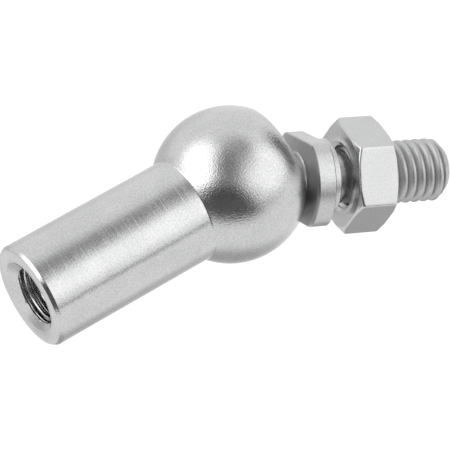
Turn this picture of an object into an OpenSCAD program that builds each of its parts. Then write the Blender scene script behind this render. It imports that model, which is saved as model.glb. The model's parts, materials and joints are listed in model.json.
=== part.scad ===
// Axial ball joint: a socket housing with a threaded neck, a ball stud, and a lock nut.
// +X runs along the housing from its open neck face to the ball, and +Z is up.
// The origin is the centre of the neck's open face.

/* [Housing] */
// Distance from the neck's open face to the ball's centre
socket_length = 30; // [29:0.5:34]
// Diameter of the cylindrical neck
neck_d = 13.3; // [13:0.1:14]
// Diameter of the round socket
socket_d = 19.6; // [19.4:0.1:20.4]
// Distance from the ball's centre to the flat rim of the mouth
mouth_offset = 6; // [5.9:0.1:6.3]
// Axial length of the bevel round the neck's open end
neck_bevel_length = 0.45; // [0.3:0.05:1]
// Radial depth of the bevel round the neck's open end
neck_bevel_depth = 0.3; // [0.2:0.05:0.8]
// Radius of the rounding where the neck runs into the socket
neck_fillet = 0.6; // [0.3:0.1:1]

/* [Rod thread] */
// Nominal diameter of both threads
thread_d = 8; // [8:1:8]
// Pitch of both threads
pitch = 1.25; // [1:0.25:1.25]
// Number of full turns cut in the neck
rod_turns = 12; // [8:1:13]
// Diameter of the countersink at the neck's face
countersink_d = 9.5; // [8.6:0.1:10]
// Full angle of the countersink
countersink_angle = 120; // [90:5:130]
// Distance that the tap drill runs on past the last turn
drill_past_thread = 1.4; // [1:0.1:1.6]
// Full angle of the drill's point
drill_point_angle = 118; // [116:1:120]

/* [Ball and bearing] */
// Diameter of the ball
ball_d = 13; // [12.8:0.1:13]
// Wall of the two bearing shells
shell_wall = 1; // [0.8:0.05:1.05]
// Running clearance on each side of the bearing shells
running_gap = 0.08; // [0.05:0.01:0.1]
// Swing of the stud to either side before its waist meets the mouth
swing_limit = 25; // [20:0.5:25]
// Angle from its own axis to the edge of the rear bearing cup
cup_reach = 60; // [50:1:61]
// Gap in front of the ball's middle before the front bearing ring starts
ring_start = 0.3; // [0.2:0.1:1]

/* [Ball stud] */
// Diameter of the waist between the ball and the collar
waist_d = 6.6; // [6:0.1:7]
// Distance from the ball's centre to the collar's near face
collar_start = 9.05; // [9:0.05:10]
// Thickness of the collar
collar_length = 2.4; // [2:0.05:3]
// Diameter of the collar
collar_d = 13.8; // [13.4:0.1:14]
// Distance across the collar's two wrench flats
collar_flats = 10.6; // [10:0.1:11]
// Radial width of the turned bevel on the collar's face towards the ball
collar_face_bevel = 0.6; // [0.3:0.05:0.8]
// Bevel round the collar's far edge, and the axial length of the one towards the ball
collar_bevel = 0.15; // [0.1:0.05:0.3]
// Diameter of the shoulder beyond the collar
shoulder_d = 9.8; // [9:0.1:10.5]
// Length of the shoulder beyond the collar
shoulder_length = 1.6; // [0.8:0.05:2]
// Diameter of the relief groove between the shoulder and the thread
relief_d = 6.9; // [6.2:0.1:7.2]
// Length of the relief groove
relief_length = 1.95; // [1:0.05:2.5]
// Distance from the ball's centre to the stud's threaded end
stud_length = 28.9; // [28:0.1:32]
// Bevel at the stud's threaded end
stud_end_bevel = 1.15; // [0.8:0.05:1.3]

/* [Lock nut] */
// Width of the nut across its flats
nut_flats = 12.8; // [12.7:0.1:13]
// Height of the nut
nut_height = 5.3; // [4:0.1:6.5]
// Distance from the ball's centre to the nut's near face
nut_start = 14.7; // [14.6:0.1:20]
// Diameter of the flat face inside the bevel at each end of the nut
nut_face_d = 13.2; // [12:0.1:13.4]
// Angle of the nut's end bevels
nut_bevel_angle = 22; // [20:1:35]
// Running clearance between the nut's bore and the thread's crests
nut_gap = 0.06; // [0.02:0.01:0.1]
// Depth of the lead-in bevel at each end of the nut's bore
nut_lead = 0.45; // [0.2:0.05:0.6]

/* [Pose at rest] */
// Tilt of the stud away from the housing's axis
rest_tilt = 23.1; // [0:0.1:24]
// Direction in which the stud leans, turned about the housing's axis from +Y
rest_lean = 215.3; // [0:0.1:360]
// Turn of the collar's flats about the stud's own axis
flats_turn = 24.4; // [0:0.1:180]
// Turn of the nut's corners about the stud's own axis
nut_turn = 13.7; // [0:0.1:60]

/* [Hidden] */
$fn = 96;
eps = 0.01;

// Metric thread proportions
thread_r = thread_d / 2;
sharp_h = pitch * sqrt(3) / 2;
inner_minor_r = thread_r - sharp_h * 5 / 8;
outer_minor_r = thread_r - sharp_h * 17 / 24;
crest_w = pitch / 8;
root_w = pitch / 4;
flank_w = (pitch - crest_w - root_w) / 2;

// Housing
neck_r = neck_d / 2;
socket_r = socket_d / 2;
ball_r = ball_d / 2;
cavity_r = ball_r + shell_wall + running_gap * 2;
countersink_depth = (countersink_d / 2 - inner_minor_r) / tan(countersink_angle / 2);
drill_depth = countersink_depth + rod_turns * pitch + drill_past_thread;
drill_tip_length = inner_minor_r / tan(drill_point_angle / 2);

// The mouth is a cone that clears the waist at full swing. It is the waist's own edge, moved out.
mouth_gap = 0.3;
waist_reach = (waist_d / 2 + mouth_gap) / cos(swing_limit);
function mouth_radius(x) = waist_reach + x * tan(swing_limit);

// Ball stud
collar_end = collar_start + collar_length;
shoulder_end = collar_end + shoulder_length;
thread_start = shoulder_end + relief_length;
shank_length = stud_length - thread_start;
stud_end_r = thread_r - stud_end_bevel;

// Lock nut. The stud's rings run on to just past its far face.
nut_sides = 6;
nut_corner_r = nut_flats / 2 / cos(180 / nut_sides);
nut_bore_r = thread_r + nut_gap;
stud_turns = ceil((nut_start + nut_height - thread_start) / pitch);
free_start = thread_start + stud_turns * pitch;

// Puts a solid that is built along +Z with its base at the origin on the housing's axis
module along_x(x = 0) translate([x, 0, 0]) rotate([0, 90, 0]) children();

// Puts what is built along +X from the ball's centre on the stud's axis
module on_stud() translate([socket_length, 0, 0])
  rotate([rest_lean, 0, 0]) rotate([0, 0, rest_tilt]) children();

// Rings with the section of the thread, side by side along Z. Each one rises from the root, runs
// along its crest and falls back to the root.
module thread_rings(turns, crest_r, root_r, base_r) {
  section = [for (turn = [0 : turns - 1], z = turn * pitch) each [
    [root_r, z],
    [crest_r, z + flank_w],
    [crest_r, z + flank_w + crest_w],
    [root_r, z + flank_w * 2 + crest_w]]];
  ends = [[root_r, turns * pitch], [base_r, turns * pitch]];
  rotate_extrude() polygon(concat([[base_r, 0]], section, ends));
}

module socket_housing() color([0.72, 0.73, 0.74]) difference() {
  union() {
    along_x() cylinder(h = neck_bevel_length, r1 = neck_r - neck_bevel_depth, r2 = neck_r);
    along_x(neck_bevel_length) cylinder(h = socket_length - neck_bevel_length - ball_r, r = neck_r);
    along_x(socket_length) sphere(r = socket_r);
    neck_rounding();
  }
  along_x(socket_length + mouth_offset) cylinder(h = socket_r, r = socket_r);
  along_x(socket_length) sphere(r = cavity_r);
  along_x(socket_length)
    cylinder(h = mouth_offset + eps, r1 = mouth_radius(0), r2 = mouth_radius(mouth_offset + eps));
  rod_hole();
}

// A small cone that stands in for the rounding between the neck and the socket
module neck_rounding() {
  joint_x = socket_length - sqrt(pow(socket_r, 2) - pow(neck_r, 2));
  top_r = neck_r + neck_fillet / 2;
  top_x = socket_length - sqrt(pow(socket_r, 2) - pow(top_r, 2));
  along_x(joint_x - neck_fillet)
    cylinder(h = top_x - joint_x + neck_fillet, r1 = neck_r, r2 = top_r);
}

// The countersunk, tapped hole in the neck, as the solid that is cut away
module rod_hole() {
  along_x(-eps) cylinder(h = countersink_depth + eps, r1 = countersink_d / 2, r2 = inner_minor_r);
  along_x(-eps) cylinder(h = drill_depth + eps, r = inner_minor_r);
  along_x(drill_depth) cylinder(h = drill_tip_length, r1 = inner_minor_r, r2 = 0);
  along_x(countersink_depth) thread_rings(rod_turns, thread_r, inner_minor_r, 0);
}

// The half of the bearing in front of the ball's middle, cut by the mouth's cone
module front_bearing_ring() color([0.78, 0.66, 0.36]) difference() {
  along_x(socket_length) sphere(r = cavity_r - running_gap);
  along_x(socket_length) sphere(r = ball_r + running_gap);
  along_x(socket_length - cavity_r) cylinder(h = cavity_r + ring_start, r = cavity_r);
  along_x(socket_length) cylinder(h = socket_r, r1 = mouth_radius(0), r2 = mouth_radius(socket_r));
}

// The cup behind the ball, which floats in the socket and follows the stud's tilt
module rear_bearing_cup() color([0.78, 0.66, 0.36]) on_stud() difference() {
  along_x() sphere(r = cavity_r - running_gap);
  along_x() sphere(r = ball_r + running_gap);
  along_x(-cavity_r * cos(cup_reach)) cylinder(h = cavity_r * 2, r = cavity_r);
}

module ball_stud() color([0.70, 0.71, 0.72]) on_stud() {
  along_x() sphere(r = ball_r);
  along_x() cylinder(h = collar_start + eps, r = waist_d / 2);
  collar();
  along_x(collar_end - eps) cylinder(h = shoulder_length + eps, r = shoulder_d / 2);
  along_x(shoulder_end - eps) cylinder(h = relief_length + eps * 2, r = relief_d / 2);
  shank();
}

// A turned disc with a shallow bevel towards the ball, cut by two parallel wrench flats
module collar() rotate([flats_turn, 0, 0]) intersection() {
  along_x(collar_start) collar_disc();
  translate([collar_start - eps, -collar_flats / 2, -collar_d])
    cube([collar_length + eps * 2, collar_flats, collar_d * 2]);
}

module collar_disc() {
  collar_r = collar_d / 2;
  far_bevel = collar_length - collar_bevel;
  cylinder(h = collar_bevel, r1 = collar_r - collar_face_bevel, r2 = collar_r);
  translate([0, 0, collar_bevel]) cylinder(h = far_bevel - collar_bevel, r = collar_r);
  translate([0, 0, far_bevel]) cylinder(h = collar_bevel, r1 = collar_r, r2 = collar_r - collar_bevel);
}

// The threaded shank: rings under the nut, then a plain stretch at the crests' diameter for the
// free end. A wide cone that ends at the free end's face cuts its 45 degree bevel.
module shank() intersection() {
  union() {
    along_x(thread_start) thread_rings(stud_turns, thread_r, outer_minor_r, 0);
    along_x(free_start) cylinder(h = stud_length - free_start, r = thread_r);
  }
  along_x(thread_start - eps)
    cylinder(h = shank_length + eps, r1 = stud_end_r + shank_length + eps, r2 = stud_end_r);
}

module hex_nut() color([0.76, 0.77, 0.78]) on_stud()
  translate([nut_start, 0, 0]) rotate([nut_turn, 0, 0]) difference() {
    along_x() intersection() {
      rotate([0, 0, 180 / nut_sides]) cylinder(h = nut_height, r = nut_corner_r, $fn = nut_sides);
      nut_bevels();
    }
    along_x() nut_bore();
  }

// The nut's plain bore with a lead-in bevel at each end, as the solid that is cut away
module nut_bore() {
  wide_r = nut_bore_r + nut_lead + eps;
  translate([0, 0, -eps]) cylinder(h = nut_height + eps * 2, r = nut_bore_r);
  translate([0, 0, -eps]) cylinder(h = nut_lead + eps, r1 = wide_r, r2 = nut_bore_r);
  translate([0, 0, nut_height - nut_lead]) cylinder(h = nut_lead + eps, r1 = nut_bore_r, r2 = wide_r);
}

// Two cones, base to base, that bevel the nut's corners at both ends
module nut_bevels() {
  half = nut_height / 2;
  wide_r = nut_face_d / 2 + half / tan(nut_bevel_angle);
  cylinder(h = half, r1 = nut_face_d / 2, r2 = wide_r);
  translate([0, 0, half]) cylinder(h = half, r1 = wide_r, r2 = nut_face_d / 2);
}

socket_housing();
front_bearing_ring();
rear_bearing_cup();
ball_stud();
hex_nut();
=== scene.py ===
# %% [markdown]
# # An axial ball joint, lesson by lesson
# This small steel joint screws onto a rod at one end and onto a lever at the other. A ball on the
# stud swivels in a round socket, so the two ends need not be in line. The sheet you are reading
# loads the measured model first, then makes each piece again with the roundings, threads and
# finish that the eye expects. Every length below is in millimetres and is turned into metres at
# the moment a mesh is made.

# %% Load the measured model
import json

import bmesh
import bpy
import numpy as np
from mathutils import Matrix, Vector


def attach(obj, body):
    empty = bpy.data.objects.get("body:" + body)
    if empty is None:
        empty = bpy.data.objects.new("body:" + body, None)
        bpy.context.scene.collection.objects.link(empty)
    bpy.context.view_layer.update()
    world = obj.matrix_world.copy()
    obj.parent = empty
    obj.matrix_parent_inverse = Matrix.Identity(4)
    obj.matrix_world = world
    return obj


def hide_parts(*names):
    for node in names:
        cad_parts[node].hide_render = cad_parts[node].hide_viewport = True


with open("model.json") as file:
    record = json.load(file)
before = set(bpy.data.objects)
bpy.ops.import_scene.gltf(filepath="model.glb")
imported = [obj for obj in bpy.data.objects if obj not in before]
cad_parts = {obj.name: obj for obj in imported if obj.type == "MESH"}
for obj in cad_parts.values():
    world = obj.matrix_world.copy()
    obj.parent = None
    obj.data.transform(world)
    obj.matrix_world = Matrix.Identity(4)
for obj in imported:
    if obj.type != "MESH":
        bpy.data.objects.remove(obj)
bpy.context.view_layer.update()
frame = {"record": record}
MM = 0.001

# %% [markdown]
# ## Where the stud points
# The housing lies along X. The stud leans away from it, so the stud, its ball cup and the nut are
# easiest to make in a frame of their own, with X along the stud and the ball's centre at zero.
# The joints in the record give that frame: the spin axis is the stud's own axis, and the tilt
# axis stands square to it.

# %% The stud's own frame
joints = {joint["name"]: joint for joint in frame["record"]["behaviour"]["joints"]}
ball_centre = Vector(joints["stud_spin"]["pos_m"])
stud_axis = Vector(joints["stud_spin"]["axis"]).normalized()
tilt_axis = Vector(joints["stud_tilt"]["axis"]).normalized()
side_axis = tilt_axis.cross(stud_axis)
stud_frame = Matrix((stud_axis, side_axis, tilt_axis)).transposed().to_4x4()
stud_frame.translation = ball_centre
housing_frame = Matrix.Identity(4)
print("ball centre", tuple(ball_centre), "stud axis", tuple(stud_axis))

# %% [markdown]
# ## Camera
# A long lens a third of a metre away gives the calm perspective of a catalogue picture. Three
# directions fix it: from the ball to the viewer, the picture's right and the picture's up. The
# ball sits a little off the middle, so that the housing and the stud fill the square together.

# %% Place the camera
to_viewer = Vector((-0.3968, -0.5248, 0.7531)).normalized()
picture_right = Vector((0.7977, -0.6031, 0.0)).normalized()
picture_up = to_viewer.cross(picture_right)
camera_distance = 314.5
ball_off_middle = (0.585, 5.009)
camera_data = bpy.data.cameras.new("camera")
camera_data.lens = 203.58
camera_data.sensor_width = 36.0
camera_data.clip_start = 0.01
camera_data.clip_end = 20.0
camera = bpy.data.objects.new("camera", camera_data)
bpy.context.scene.collection.objects.link(camera)
shift = picture_right * ball_off_middle[0] + picture_up * ball_off_middle[1]
camera_turn = Matrix((picture_right, picture_up, to_viewer)).transposed().to_4x4()
camera_place = ball_centre + (to_viewer * camera_distance - shift) * MM
camera.matrix_world = Matrix.Translation(camera_place) @ camera_turn
bpy.context.scene.camera = camera
print("camera at", tuple(round(c, 4) for c in camera_place))

# %% [markdown]
# ## Arithmetic on sockets
# Node trees are easier to read as formulas. One small class stands for a socket, and adding,
# multiplying or comparing two of them adds the Math node that does it. The same class serves the
# geometry trees and the materials, because Math nodes are shared by both. Every other kind of
# node comes from one method, which takes its type, its settings and what feeds its sockets.


# %% A socket that can be added and multiplied
class Signal:
    def __init__(self, tree, socket):
        self.tree = tree
        self.socket = socket

    def node(self, kind, settings=None, inputs=None, output=0):
        return add_node(self.tree, kind, settings, inputs, output)

    def math(self, operation, *others):
        return self.node("ShaderNodeMath", {"operation": operation}, dict(enumerate((self, *others))))

    def __add__(self, other):
        return self.math("ADD", other)

    def __sub__(self, other):
        return self.math("SUBTRACT", other)

    def __rsub__(self, other):
        return self.node("ShaderNodeMath", {"operation": "SUBTRACT"}, {0: other, 1: self})

    def __mul__(self, other):
        return self.math("MULTIPLY", other)

    def __truediv__(self, other):
        return self.math("DIVIDE", other)

    __radd__ = __add__
    __rmul__ = __mul__

    def smallest(self, other):
        return self.math("MINIMUM", other)

    def largest(self, other):
        return self.math("MAXIMUM", other)

    def between(self, low, high):
        return self.largest(low).smallest(high)

    def smooth(self, low, high):
        """Rises softly from 0 at low to 1 at high."""
        settings = {"interpolation_type": "SMOOTHSTEP"}
        return self.node("ShaderNodeMapRange", settings, {0: self, 1: low, 2: high, 3: 0.0, 4: 1.0})


def add_node(tree, kind, settings=None, inputs=None, output=0):
    """Adds one node, sets it up, feeds its sockets and returns one of its outputs."""
    made = tree.nodes.new(kind)
    for name, value in (settings or {}).items():
        setattr(made, name, value)
    for name, value in (inputs or {}).items():
        if isinstance(value, Signal):
            tree.links.new(value.socket, made.inputs[name])
        else:
            made.inputs[name].default_value = value
    return Signal(tree, made.outputs[output])


print("socket arithmetic is ready")

# %% [markdown]
# ## Turned shapes
# Almost everything here was turned on a lathe. Blender's Screw modifier could spin an outline,
# but the collar's flats and the nut's corners need a radius that changes as the outline goes
# round. So a small helper builds rings of points: each ring has a place along the axis and a
# radius, which may be one number or one number for each column. Corners are given as sharp
# points with a rounding, and the rounding becomes a short curve with a holding ring on each side
# that keeps the flat faces flat in the shading.

# %% Rings, roundings and welded shells
COLUMNS = 144
WELD_DISTANCE = 0.0015
column_angles = np.arange(COLUMNS) * 2 * np.pi / COLUMNS


def ring(x, r, angles=column_angles):
    """One ring of points: x along the axis and r from it, in millimetres."""
    x, r = np.broadcast_to(x, COLUMNS), np.broadcast_to(r, COLUMNS)
    return np.stack([x, r * np.cos(angles), r * np.sin(angles)], axis=1)


def rounded(rings, cuts, steps=5):
    """Replaces each ring that has a cut by a curve, and adds a holding ring on each side of it."""
    out = [rings[0]]
    for before, corner, after, cut in zip(rings, rings[1:], rings[2:], cuts[1:]):
        if not cut:
            out.append(corner)
            continue
        arms = []
        for other in (before, after):
            length = np.linalg.norm(other - corner, axis=1, keepdims=True)
            direction = (other - corner) / np.maximum(length, 1e-9)
            arms.append((direction, np.minimum(cut, length * 0.45)))
        (back, back_cut), (ahead, ahead_cut) = arms
        start, end = corner + back * back_cut, corner + ahead * ahead_cut
        out.append(corner + back * back_cut * 1.1)
        for t in np.linspace(0, 1, steps + 1):
            out.append(start * (1 - t) ** 2 + corner * 2 * t * (1 - t) + end * t**2)
        out.append(corner + ahead * ahead_cut * 1.1)
    out.append(rings[-1])
    return out


def arc(middle, radius, start, end, steps):
    """Rings on a sphere about a point of the axis, from one polar angle to another."""
    turn = np.radians(np.linspace(start, end, steps + 1))
    return [ring(middle + radius * np.cos(a), radius * abs(np.sin(a))) for a in turn]


def skin(rings, closed=False):
    """Vertices and faces of the surface through the rings."""
    rows = len(rings)
    faces = []
    for row in range(rows if closed else rows - 1):
        a, b = row * COLUMNS, (row + 1) % rows * COLUMNS
        for c in range(COLUMNS):
            d = (c + 1) % COLUMNS
            faces.append((a + c, a + d, b + d, b + c))
    return np.concatenate(rings), faces


def shell(name, parts, place, material, sharp=50):
    """Welds surfaces into one closed mesh with outward faces, and puts it in its place."""
    mesh = bpy.data.meshes.new(name)
    points, faces = [], []
    for vertices, polygons in parts:
        faces += [tuple(v + len(points) for v in polygon) for polygon in polygons]
        points += [tuple(v * MM) for v in vertices]
    mesh.from_pydata(points, [], faces)
    work = bmesh.new()
    work.from_mesh(mesh)
    bmesh.ops.remove_doubles(work, verts=work.verts, dist=WELD_DISTANCE * MM)
    bmesh.ops.recalc_face_normals(work, faces=work.faces)
    open_edges = sum(not edge.is_manifold for edge in work.edges)
    if work.calc_volume(signed=True) < 0:
        bmesh.ops.reverse_faces(work, faces=work.faces)
    work.to_mesh(mesh)
    work.free()
    mesh.transform(place)
    mesh.shade_smooth()
    mesh.set_sharp_from_angle(angle=np.radians(sharp))
    mesh.materials.append(material)
    made = bpy.data.objects.new(name, mesh)
    bpy.context.scene.collection.objects.link(made)
    print(name, "faces", len(mesh.polygons), "open edges", open_edges)
    return made


# %% [markdown]
# ## Screw threads
# A thread is a rule more than a shape: the same ridge climbs round a cylinder, one pitch each
# turn. That suits Geometry Nodes. A cut thread has straight flanks between narrow crests and roots,
# and a rolled one has wide round crests between narrow roots, so the tree can make either. A flat
# grid is rolled up so that its rows already climb with the thread, which keeps the ridge's edges on
# whole rows. The radius then follows how far each point is from the nearest crest, and two cones
# cut the ends: a bevel on a bolt, or a countersink in a hole. A ready-made screw mesh would need a
# cut and a weld at each end, and this one ends in plain rings that weld to the turned shapes beside
# it.

# %% A tree that makes a thread
ROWS_A_TURN = 16
thread_tree = bpy.data.node_groups.new("helical thread", "GeometryNodeTree")
thread_inputs = {}
size_names = ["Pitch", "Start", "End", "Crest At", "Base Radius", "Depth", "Side", "Start Radius"]
size_names += ["Start Slope", "End Radius", "End Slope", "Fade In", "Fade Out", "Rolled", "Crest Shape"]
input_kinds = {"Rows": "Int", **{size: "Float" for size in size_names}, "Metal": "Material"}
for name, kind in input_kinds.items():
    made = thread_tree.interface.new_socket(name, in_out="INPUT", socket_type=f"NodeSocket{kind}")
    thread_inputs[name] = made.identifier
thread_tree.interface.new_socket("Thread", in_out="OUTPUT", socket_type="NodeSocketGeometry")
group_input = thread_tree.nodes.new("NodeGroupInput")
given = {name: Signal(thread_tree, group_input.outputs[name]) for name in thread_inputs}

# %% Roll the grid up and give it the thread's section
grid_inputs = {"Size X": 1.0, "Size Y": 1.0, "Vertices X": COLUMNS + 1, "Vertices Y": given["Rows"] + 1}
grid = add_node(thread_tree, "GeometryNodeMeshGrid", {}, grid_inputs)
position = add_node(thread_tree, "GeometryNodeInputPosition")
across = add_node(thread_tree, "ShaderNodeSeparateXYZ", {}, {0: position}) + 0.5
along = add_node(thread_tree, "ShaderNodeSeparateXYZ", {}, {0: position}, output=1) + 0.5
climb = (along * given["Rows"] / ROWS_A_TURN - 1 + across) * given["Pitch"]
axial = (given["Start"] + climb).between(given["Start"], given["End"])
turns = (axial - given["Crest At"]) / given["Pitch"] - across
off_crest = (turns + 0.5).math("FRACT") - 0.5
from_crest = off_crest.math("ABSOLUTE")
half_root, half_crest = 6.6 / 16, 0.6 / 16
cut_ridge = from_crest.smooth(half_root, half_crest)
rolled_ridge = 1.0 - (from_crest * 2).math("POWER", given["Crest Shape"])
ridge = given["Rolled"] * rolled_ridge + (1.0 - given["Rolled"]) * cut_ridge
start_way, end_way = axial - given["Start"], given["End"] - axial
fading = (start_way / given["Fade In"]).smooth(0.0, 1.0)
fading = fading * (end_way / given["Fade Out"]).smooth(0.0, 1.0)
threaded = given["Base Radius"] + given["Depth"] * ridge * fading
start_cone = given["Start Radius"] + given["Start Slope"] * start_way
end_cone = given["End Radius"] + given["End Slope"] * end_way
side = given["Side"]
radius = (threaded * side).smallest(start_cone * side).smallest(end_cone * side) * side
angle = across * (2 * np.pi)
place_inputs = {0: axial * MM, 1: radius * angle.math("COSINE") * MM, 2: radius * angle.math("SINE") * MM}
place = add_node(thread_tree, "ShaderNodeCombineXYZ", {}, place_inputs)
moved = add_node(thread_tree, "GeometryNodeSetPosition", {}, {"Geometry": grid, "Position": place})
weld_inputs = {"Geometry": moved, "Distance": WELD_DISTANCE * MM}
merged = add_node(thread_tree, "GeometryNodeMergeByDistance", {}, weld_inputs)
real = add_node(thread_tree, "GeometryNodeRealizeInstances", {}, {0: merged})
finish_inputs = {"Geometry": real, "Material": given["Metal"]}
finished = add_node(thread_tree, "GeometryNodeSetMaterial", {}, finish_inputs)
group_output = thread_tree.nodes.new("NodeGroupOutput")
thread_tree.links.new(finished.socket, group_output.inputs[0])
print("thread tree has", len(thread_tree.nodes), "nodes")


# %% Run the tree and keep the plain mesh
def thread(metal, pitch=1.25, rolled=0.0, **sizes):
    """Vertices and faces of one thread, in millimetres. A rolled thread has round crests."""
    sizes = dict(Pitch=pitch, Metal=metal, Rolled=rolled, Crest_Shape=2.2, **sizes)
    sizes = {name.replace("_", " "): value for name, value in sizes.items()}
    sizes["Rows"] = int(np.ceil(((sizes["End"] - sizes["Start"]) / pitch + 1) * ROWS_A_TURN))
    carrier = bpy.data.objects.new("thread", bpy.data.meshes.new("thread"))
    bpy.context.scene.collection.objects.link(carrier)
    modifier = carrier.modifiers.new("thread", "NODES")
    modifier.node_group = thread_tree
    for name, value in sizes.items():
        modifier[thread_inputs[name]] = value
    seen = carrier.evaluated_get(bpy.context.evaluated_depsgraph_get())
    mesh = bpy.data.meshes.new_from_object(seen)
    points = np.empty(len(mesh.vertices) * 3)
    mesh.vertices.foreach_get("co", points)
    faces = [tuple(polygon.vertices) for polygon in mesh.polygons]
    bpy.data.objects.remove(carrier)
    bpy.data.meshes.remove(mesh)
    print("thread from", sizes["Start"], "to", sizes["End"], "faces", len(faces))
    return points.reshape(-1, 3) / MM, faces


# %% [markdown]
# ## Satin zinc on steel
# The housing, the stud and the nut are turned or forged steel with a thin bright plating. The
# plating is neither a mirror nor matt: reflections stay readable, but their edges break up into
# fine grain. A metal shader of even grey would look like plastic film, so a fine noise feeds the
# bump and the roughness, and a slow noise varies the grey. Turning leaves faint rings round the
# neck and round its face, which are noises of one dimension. The stud's thread and the collar's
# near face are duller than the rest, because a tool has torn their surface a little.


# %% A plated steel
def noise(tree, scale, detail, **source):
    """A noise texture, fed by a Vector, or by W for a noise of one dimension."""
    settings = {"noise_dimensions": "1D" if "W" in source else "3D"}
    return add_node(tree, "ShaderNodeTexNoise", settings, {"Scale": scale, "Detail": detail, **source})


def turning_marks(tree, place, neck_end):
    """The height of the marks, round the neck and on its end face, and where the neck is."""
    along_axis = add_node(tree, "ShaderNodeSeparateXYZ", {}, {0: place})
    off_axis = add_node(tree, "ShaderNodeVectorMath", {"operation": "LENGTH"}, {0: place}, 1)
    on_neck = 1.0 - along_axis.smooth((neck_end - 0.4) * MM, (neck_end + 0.2) * MM)
    on_face = 1.0 - along_axis.smooth(0.7 * MM, 0.9 * MM)
    round_neck = noise(tree, 7000.0, 1.0, W=along_axis)
    round_face = noise(tree, 2600.0, 2.0, W=off_axis)
    return round_neck * (1.0 - on_face) + round_face * on_face, on_neck


def within_zone(tree, place, start, end):
    """1 on a stretch along the stud, in millimetres from the ball's centre, and 0 elsewhere."""
    minus, dot = {"operation": "SUBTRACT"}, {"operation": "DOT_PRODUCT"}
    from_ball = add_node(tree, "ShaderNodeVectorMath", minus, {0: place, 1: ball_centre})
    reach = add_node(tree, "ShaderNodeVectorMath", dot, {0: from_ball, 1: stud_axis}, 1) / MM
    return reach.smooth(start - 0.05, start) * (1.0 - reach.smooth(end, end + 0.05))


def plated_steel(name, grey, rough, grain, speckle, marks=0.0, neck_end=0.0, dull_zones=()):
    """A material: grain is the bump's height in micrometres, and marks the turning marks' share."""
    material = bpy.data.materials.new(name)
    material.use_nodes = True
    tree = material.node_tree
    shader = tree.nodes["Principled BSDF"]
    place = add_node(tree, "ShaderNodeTexCoord", {}, {}, output=3)
    fine = noise(tree, 9000.0, 3.0, Vector=place)
    coarse = noise(tree, 5200.0, 2.0, Vector=place)
    slow = noise(tree, 260.0, 4.0, Vector=place)
    height = fine * 0.3 + coarse * 0.7
    if marks:
        mark_height, on_neck = turning_marks(tree, place, neck_end)
        height = height * (1.0 - on_neck * 0.55) + mark_height * on_neck * marks
    bump_inputs = {"Height": height, "Strength": 1.0, "Distance": grain * 1e-6}
    bump = add_node(tree, "ShaderNodeBump", {}, bump_inputs)
    tree.links.new(bump.socket, shader.inputs["Normal"])
    tone = slow.smooth(0.3, 0.7) * 0.35 + coarse.smooth(0.35, 0.65) * 0.65
    cool_tint = np.array([1.0, 1.003, 1.008])
    dark, light = [(*(grey * share * cool_tint), 1.0) for share in (1 - speckle, 1 + speckle)]
    mix_inputs = {"Factor": tone, 6: dark, 7: light}
    mix = add_node(tree, "ShaderNodeMix", {"data_type": "RGBA"}, mix_inputs, output=2)
    tree.links.new(mix.socket, shader.inputs["Base Color"])
    roughness = rough + (coarse - 0.5) * 0.10 + (slow - 0.5) * 0.06
    for start, end, extra in dull_zones:
        roughness = roughness + within_zone(tree, place, start, end) * extra
    tree.links.new(roughness.socket, shader.inputs["Roughness"])
    shader.inputs["Metallic"].default_value = 1.0
    print("material", name, "nodes", len(tree.nodes))
    return material


neck_end = 30 - np.sqrt(9.8**2 - 6.65**2)
housing_steel = plated_steel("housing_steel", 0.61, 0.10, 40.0, 0.12, marks=0.34, neck_end=neck_end)
collar_face_zone, thread_zone = (9.0, 9.12, 0.25), (15.0, 28.7, 0.22)
stud_zones = [collar_face_zone, thread_zone]
stud_steel = plated_steel("stud_steel", 0.56, 0.24, 18.0, 0.10, dull_zones=stud_zones)
nut_steel = plated_steel("nut_steel", 0.60, 0.20, 12.0, 0.06)

# %% [markdown]
# ## Bearing bronze
# The two bearing shells sit between the ball and the socket and are hardly seen. Sintered bronze
# is a soft brown yellow with tiny pores that hold oil, so a cell pattern darkens it in specks.

# %% A sintered bronze
bronze = bpy.data.materials.new("bearing_bronze")
bronze.use_nodes = True
bronze_tree = bronze.node_tree
bronze_shader = bronze_tree.nodes["Principled BSDF"]
bronze_place = add_node(bronze_tree, "ShaderNodeTexCoord", {}, {}, output=3)
cells = add_node(bronze_tree, "ShaderNodeTexVoronoi", {}, {"Vector": bronze_place, "Scale": 4200.0})
pores = 1.0 - cells.smooth(0.12, 0.3)
bronze_colours = {"Factor": pores, 6: (0.52, 0.36, 0.17, 1.0), 7: (0.16, 0.10, 0.05, 1.0)}
bronze_mix = add_node(bronze_tree, "ShaderNodeMix", {"data_type": "RGBA"}, bronze_colours, output=2)
bronze_tree.links.new(bronze_mix.socket, bronze_shader.inputs["Base Color"])
bronze_tree.links.new((pores * 0.3 + 0.34).socket, bronze_shader.inputs["Roughness"])
pore_bump = add_node(bronze_tree, "ShaderNodeBump", {}, {"Height": 1.0 - pores, "Distance": 6e-6})
bronze_tree.links.new(pore_bump.socket, bronze_shader.inputs["Normal"])
bronze_shader.inputs["Metallic"].default_value = 1.0
print("material bearing_bronze nodes", len(bronze_tree.nodes))

# %% [markdown]
# ## The socket housing
# One turned piece: a neck tapped for the rod, and a round socket whose rim was rolled over the
# ball. It is made as one closed skin, from the bottom of the drilled hole, out through the
# thread, over the neck and the socket, round the rim and back into the hollow. Doing it in one
# walk means no boolean is needed and every edge can be rounded where the real one is.

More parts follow.
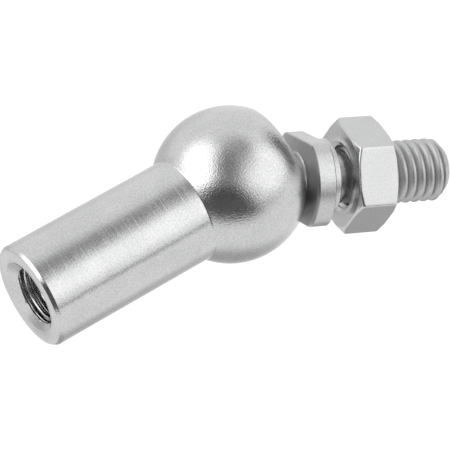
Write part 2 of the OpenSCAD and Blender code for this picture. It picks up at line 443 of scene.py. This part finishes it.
# %% The tapped hole
socket_x, socket_r, neck_r, cavity_r = 30.0, 9.8, 6.65, 7.66
thread_r, hole_r, thread_end, drill_end = 4.0, 3.3234, 15.9, 17.22
rod_thread = thread(
    housing_steel, Start=0.0, End=thread_end, Crest_At=0.0, Base_Radius=hole_r, Depth=thread_r - hole_r,
    Side=-1.0, Start_Radius=4.75, Start_Slope=-1.732, End_Radius=0.0, End_Slope=0.0, Fade_In=0.01,
    Fade_Out=1.6)
tip_length = hole_r * np.tan(np.radians(31))
drilled = [ring(drill_end + tip_length, 0), ring(drill_end, hole_r), ring(thread_end, hole_r)]

# %% The outside, the rolled rim and the hollow
mouth_x, mouth_r = 36.0, 6.77
rim_angle = np.degrees(np.arccos((mouth_x - socket_x) / socket_r))
neck_angle = np.degrees(np.pi - np.arcsin(neck_r / socket_r))
cone_x = 34.607
cone_angle = np.degrees(np.arccos((cone_x - socket_x) / cavity_r))
ball_arc = arc(socket_x, socket_r, neck_angle, rim_angle, 56)
outline = [ring(0, 4.75), ring(0, 6.35), ring(0.45, neck_r), *ball_arc, ring(mouth_x, mouth_r)]
outline += arc(socket_x, cavity_r, cone_angle, 180, 40)
cuts = [0, 0.06, 0.08, 0.18] + [0] * (len(ball_arc) - 2) + [0.3, 0.3, 0.15]
cuts += [0] * (len(outline) - len(cuts))
housing_outside = rounded(outline, cuts)
housing_skins = [skin(drilled), rod_thread, skin(housing_outside)]
housing = shell("socket_housing_looks", housing_skins, housing_frame, housing_steel)

# %% [markdown]
# ## The bearing shells
# Two thin shells of bronze hold the ball: a ring in front, seen as a fine line inside the mouth,
# and a cup behind. Both are closed turned shapes, one about the housing and one about the stud.

# %% The ring and the cup
outer_r, inner_r = 7.58, 6.58
ring_outer = np.degrees(np.arccos(4.50 / outer_r)), np.degrees(np.arccos(0.3 / outer_r))
ring_inner = np.degrees(np.arccos(0.3 / inner_r)), np.degrees(np.arccos(3.17 / inner_r))
ring_rings = arc(socket_x, outer_r, *ring_outer, 16) + arc(socket_x, inner_r, *ring_inner, 12)
front_ring = shell("front_bearing_ring_looks", [skin(ring_rings, closed=True)], housing_frame, bronze)
cup_edge = np.degrees(np.arccos(-3.83 / outer_r)), np.degrees(np.arccos(-3.83 / inner_r))
cup_rings = arc(0, outer_r, 180, cup_edge[0], 20) + arc(0, inner_r, cup_edge[1], 180, 20)
rear_cup = shell("rear_bearing_cup_looks", [skin(cup_rings)], stud_frame, bronze)

# %% [markdown]
# ## The ball stud
# The stud is turned from one bar: ball, waist, collar, shoulder, relief groove and thread. Two
# flats are milled on the collar for a spanner, and their corners are softly rounded. A rounded
# section that can be shrunk evenly gives the flats and every bevel round them at once.


# %% The collar's section
def flat_sided(r, half_width, rounding, angles, flat_direction):
    """Radius at each angle of a circle with two flats, whose corners are rounded."""
    lean = np.abs((angles - flat_direction + np.pi / 2) % np.pi - np.pi / 2)
    centre = r - rounding
    centre_angle = np.arccos((half_width - rounding) / centre)
    flat_end = np.arctan2(centre * np.sin(centre_angle), half_width)
    off = lean - centre_angle
    corner = centre * np.cos(off) + np.sqrt(np.maximum(rounding**2 - (centre * np.sin(off)) ** 2, 0))
    return np.where(lean <= flat_end, half_width / np.cos(lean), np.where(lean < centre_angle, corner, r))


def collar_section(inset):
    return flat_sided(6.9 - inset, 5.3 - inset, 2.6 - inset, column_angles, np.radians(24.4))


print("collar radius from", collar_section(0).min(), "to", collar_section(0).max())

# %% Ball, waist, collar, shoulder and relief
ball_r, waist_r, relief_r, root_r = 6.5, 3.3, 3.38, 3.36
waist_angle = np.degrees(np.arcsin(waist_r / ball_r))
stud_ball = arc(0, ball_r, 180, waist_angle, 60)
near_face = np.minimum(6.3, collar_section(0.12))
steps = [
    (ring(9.05, waist_r), 0.35), (ring(9.05, near_face), 0.04), (ring(9.2, collar_section(0)), 0.05),
    (ring(11.3, collar_section(0)), 0.06), (ring(11.45, collar_section(0.15)), 0.05),
    (ring(11.45, 4.9), 0.15), (ring(12.95, 4.9), 0.06), (ring(13.05, 4.8), 0.05),
    (ring(13.05, relief_r), 0.25), (ring(14.7, relief_r), 0.1), (ring(15.0, root_r), 0)]
stud_outline = stud_ball + [step for step, cut in steps]
stud_cuts = [0] * (len(stud_ball) - 1) + [0.3] + [cut for step, cut in steps]
stud_turned = rounded(stud_outline, stud_cuts)
stud_thread = thread(
    stud_steel, Start=15.0, End=28.9, Crest_At=15.0, Base_Radius=root_r, Depth=thread_r - root_r,
    Side=1.0, rolled=1.0, Start_Radius=9.0, Start_Slope=0.0, End_Radius=2.85, End_Slope=1.0,
    Fade_In=1.0, Fade_Out=0.01)
stud_end = [ring(28.9, 2.85), ring(28.9, 1.6), ring(28.9, 0)]
stud = shell("ball_stud_looks", [skin(stud_turned), stud_thread, skin(stud_end)], stud_frame, stud_steel)

# %% [markdown]
# ## The lock nut
# A thin hexagon nut. Its corners are chamfered by a cone, so each flat ends in a shallow curve
# that dips towards its two corners. The curve needs no boolean: at each column the cone meets
# the hexagon at a place that a formula gives. The columns are packed closer near the six
# corners, where the small rounding needs them. The edges at the near face are worn rounder than
# those at the far face. The nut's thread is the stud's own section made 0.06 mm wider all round, so
# the two never touch when the nut has moved by whole turns.

# %% The hexagon's columns and section
nut_turn, half_flats, corner_r = np.radians(13.7), 6.4, 0.3
side_share = (column_angles - np.radians(12.5)) / np.radians(60)
within = (side_share % 1) * 2 - 1
packed = 0.5 + 0.5 * np.sign(within) * (1 - (1 - np.abs(within)) ** 1.8)
nut_angles = nut_turn + np.radians(60) * (np.floor(side_share) + packed)
from_flat = np.abs((nut_angles - nut_turn) % np.radians(60) - np.radians(30))
corner_centre = (half_flats - corner_r) / np.cos(np.radians(30))
flat_end = np.arctan2(corner_centre * 0.5, half_flats)
off_corner = np.radians(30) - from_flat
corner_rise = np.sqrt(np.maximum(corner_r**2 - (corner_centre * np.sin(off_corner)) ** 2, 0))
corner_reach = corner_centre * np.cos(off_corner) + corner_rise
hexagon = np.where(from_flat <= flat_end, half_flats / np.cos(from_flat), corner_reach)
print("across the nut's corners", round(float(hexagon.max()) * 2, 2))

# %% The nut's chamfers, faces and thread
nut_near, nut_height, face_r = 14.7, 5.3, 6.55
dip = np.maximum(hexagon - face_r, 0) * np.tan(np.radians(22)) + 0.12
face_edge = np.minimum(hexagon - 0.28, face_r - 0.15)
far_dip, far_edge = dip - 0.09, face_edge + 0.15
nut_far = nut_near + nut_height
nut_steps = [
    (ring(nut_near, 4.5), 0), (ring(nut_near, 5.4), 0), (ring(nut_near, face_edge, nut_angles), 0.08),
    (ring(nut_near + dip, hexagon, nut_angles), 0.3),
    (ring(nut_far - far_dip, hexagon, nut_angles), 0.12), (ring(nut_far, far_edge, nut_angles), 0.05),
    (ring(nut_far, 5.4), 0), (ring(nut_far, 4.5), 0)]
nut_skin = rounded([step for step, cut in nut_steps], [cut for step, cut in nut_steps])
nut_thread = thread(
    nut_steel, Start=nut_near, End=nut_far, Crest_At=15.0, Base_Radius=3.42, Depth=0.66, Side=-1.0,
    rolled=1.0, Start_Radius=4.5, Start_Slope=-1.0, End_Radius=4.5, End_Slope=-1.0, Fade_In=0.01,
    Fade_Out=0.01)
nut = shell("hex_nut_looks", [skin(nut_skin), nut_thread], stud_frame, nut_steel)

# %% [markdown]
# ## Tie the pieces to the bodies
# Each finished piece stands for one solid of the measured model and moves with its body.

# %% Bodies and stand-ins
for piece, body, node, slot_name in [
    (housing, "housing", "socket_housing", "housing_steel"),
    (front_ring, "bearing_ring", "front_bearing_ring", "bearing_bronze"),
    (rear_cup, "bearing_cup", "rear_bearing_cup", "bearing_bronze"),
    (stud, "stud", "ball_stud", "stud_steel"),
    (nut, "nut", "hex_nut", "nut_steel"),
]:
    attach(piece, body)
    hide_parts(node)
    print(piece.name, "rides on", body)

# %% [markdown]
# ## Floor and light
# Polished metal shows the room more than itself. A white tent gives the even pale ground, two
# large soft boxes give the bright patches at the left and the right, and the gap in the tent
# where the camera looks in gives the dark patch between them. The gap narrows into a seam that
# runs overhead between the boxes. Smaller gaps are a beam above, an opening at the right, the
# table's edge and two shadows low on the far left. The tent is the world's light, written as soft
# patches round given directions, and only reflections see it: plain white light reaches the floor
# and every dull surface.


# %% A white tent with soft boxes and a dark gap
def direction(azimuth, elevation):
    a, e = np.radians(azimuth), np.radians(elevation)
    return Vector((np.cos(a) * np.cos(e), np.sin(a) * np.cos(e), np.sin(e)))


def patch(sight, azimuth, elevation, width, height, soft, turn=0.0, taper=0.0):
    """1 inside a soft box round a direction, 0 outside. Taper narrows it towards the top."""
    ahead = direction(azimuth, elevation)
    level = Vector((0, 0, 1)).cross(ahead).normalized()
    tilt = Matrix.Rotation(np.radians(turn), 3, ahead)
    axes = ahead, tilt @ level, tilt @ ahead.cross(level)
    dot = {"operation": "DOT_PRODUCT"}
    front, across_box, up_box = [
        add_node(sight.tree, "ShaderNodeVectorMath", dot, {0: sight, 1: axis}, 1) for axis in axes]
    facing = front.largest(0.001)
    v = up_box / facing / np.tan(np.radians(height))
    u = across_box / facing / np.tan(np.radians(width)) / (1.0 - v * taper).largest(0.1)
    u, v = u * u, v * v
    reach = (u * u + v * v).math("POWER", 0.25)
    return (1.0 - reach.smooth(1.0 - soft, 1.0 + soft)) * front.smooth(0.0, 0.05)


world = bpy.data.worlds.new("light tent")
world.use_nodes = True
bpy.context.scene.world = world
sky = world.node_tree
background = sky.nodes["Background"]
sight = add_node(sky, "ShaderNodeTexCoord", {}, {}, output=0)
height = add_node(sky, "ShaderNodeSeparateXYZ", {}, {0: sight}, 2)
tent = 0.97 - height.smooth(0.72, 1.0) * 0.30 - (height * -1.0).smooth(0.78, 1.0) * 0.48
for box, strength in [
    (patch(sight, 148, 44, 31, 24, 0.4, turn=-19), 1.0),
    (patch(sight, -40, 34, 28, 32, 0.35, turn=34), 0.46),
]:
    tent = tent + box * strength
for gap, depth in [
    (patch(sight, -133, 20, 44, 27, 0.4, taper=0.45), 0.88),
    (patch(sight, -133, 68, 16, 36, 0.6, taper=0.5), 0.62),
    (patch(sight, -8, 67, 18, 7, 0.6), 0.5),
    (patch(sight, -3, 6, 12, 21, 0.5, turn=-35), 0.88),
    (patch(sight, -75, 4, 60, 2.2, 0.6), 0.65),
    (patch(sight, 98, -28, 30, 20, 0.8), 0.3),
    (patch(sight, 136, -12, 18, 12, 0.7), 0.35),
]:
    tent = tent * (1.0 - gap * depth)
mirrored = add_node(sky, "ShaderNodeLightPath", {}, {}, output=3)
shown = tent * mirrored + (1.0 - mirrored) * 1.15
sky.links.new(shown.socket, background.inputs["Color"])
bpy.context.scene.view_settings.view_transform = "Standard"
print("world nodes", len(sky.nodes))

# %% A plain pale floor
floor_mesh = bpy.data.meshes.new("floor")
floor_size, floor_z = 3.0, -0.07
corners = [(-floor_size, -floor_size, floor_z), (floor_size, -floor_size, floor_z)]
corners += [(floor_size, floor_size, floor_z), (-floor_size, floor_size, floor_z)]
floor_mesh.from_pydata(corners, [], [(0, 1, 2, 3)])
floor = bpy.data.objects.new("floor", floor_mesh)
bpy.context.scene.collection.objects.link(floor)
paper = bpy.data.materials.new("white_paper")
paper.use_nodes = True
paper.node_tree.nodes["Principled BSDF"].inputs["Base Color"].default_value = (0.95, 0.95, 0.95, 1.0)
paper.node_tree.nodes["Principled BSDF"].inputs["Roughness"].default_value = 0.9
floor_mesh.materials.append(paper)
floor.visible_glossy = False
print("floor at", floor_z)
